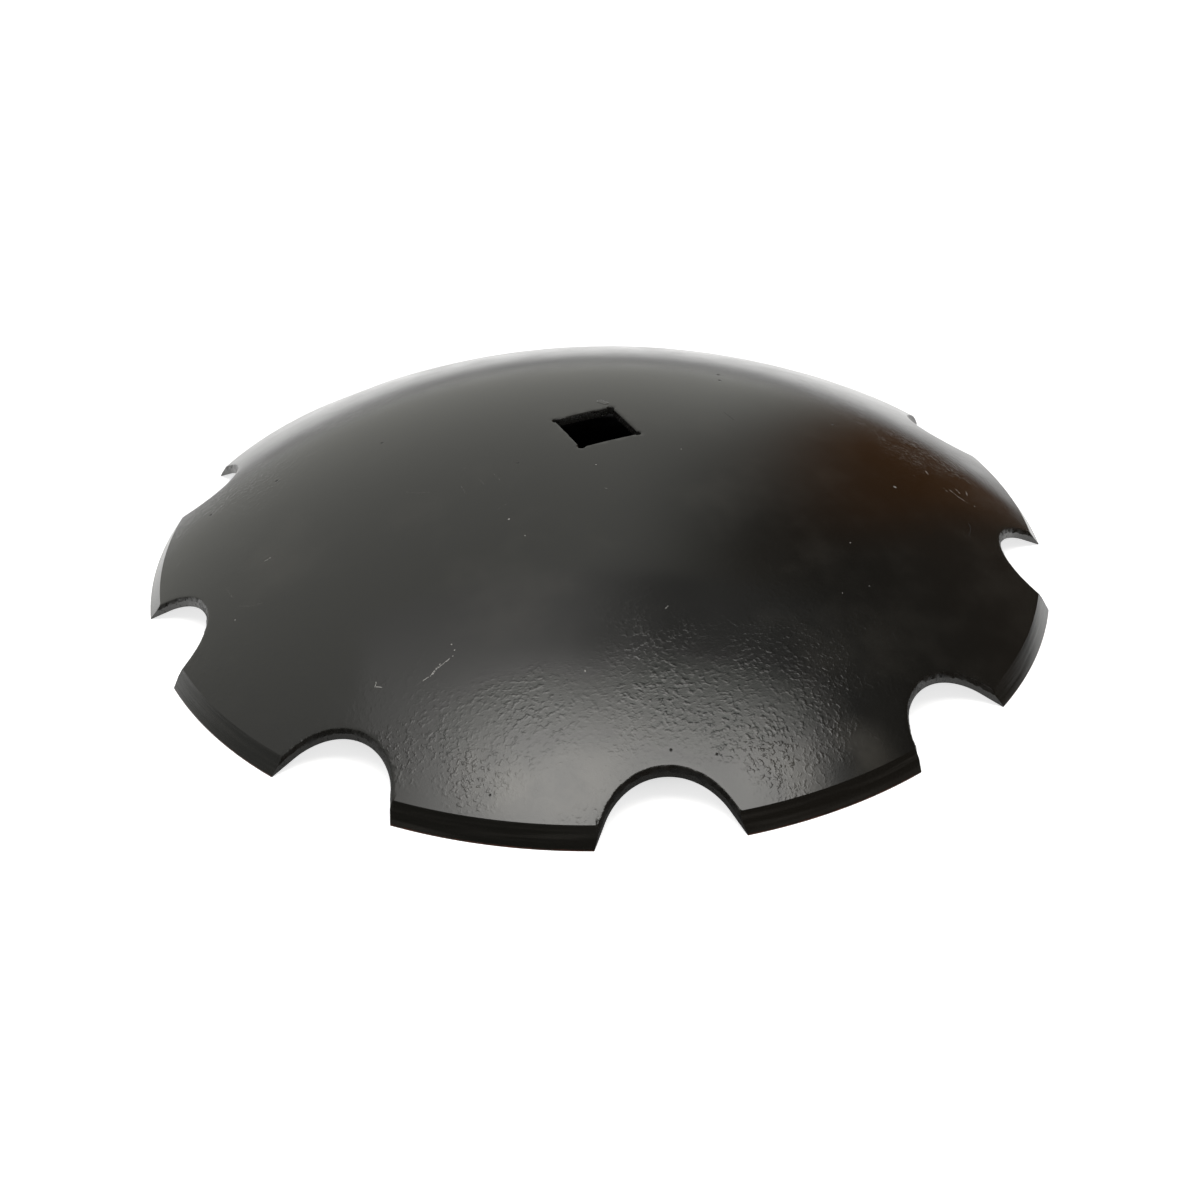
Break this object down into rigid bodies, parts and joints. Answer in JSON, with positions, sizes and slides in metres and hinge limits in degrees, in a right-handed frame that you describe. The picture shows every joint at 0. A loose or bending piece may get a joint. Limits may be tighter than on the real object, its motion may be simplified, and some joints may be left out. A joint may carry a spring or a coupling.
{
  "type": "notched harrow disc blade",
  "caption": "Dished steel disc blade with notched ground edge and a square axle hole; turns on a harrow gang to cut and turn soil.",
  "frame": {"origin": "centre of the cutting circle, on the plane that the teeth stand on", "axes": "+Z along the gang axle towards the convex face; a notch is centred on +X; the square hole's sides face X and Y"},
  "size_m": [0.6542, 0.66, 0.095],
  "materials": {
    "black_paint": "semi-gloss black stove paint over hot-rolled boron steel plate"
  },
  "bodies": {
    "root": {"disc_blade": "black_paint"}
  },
  "joints": []
}
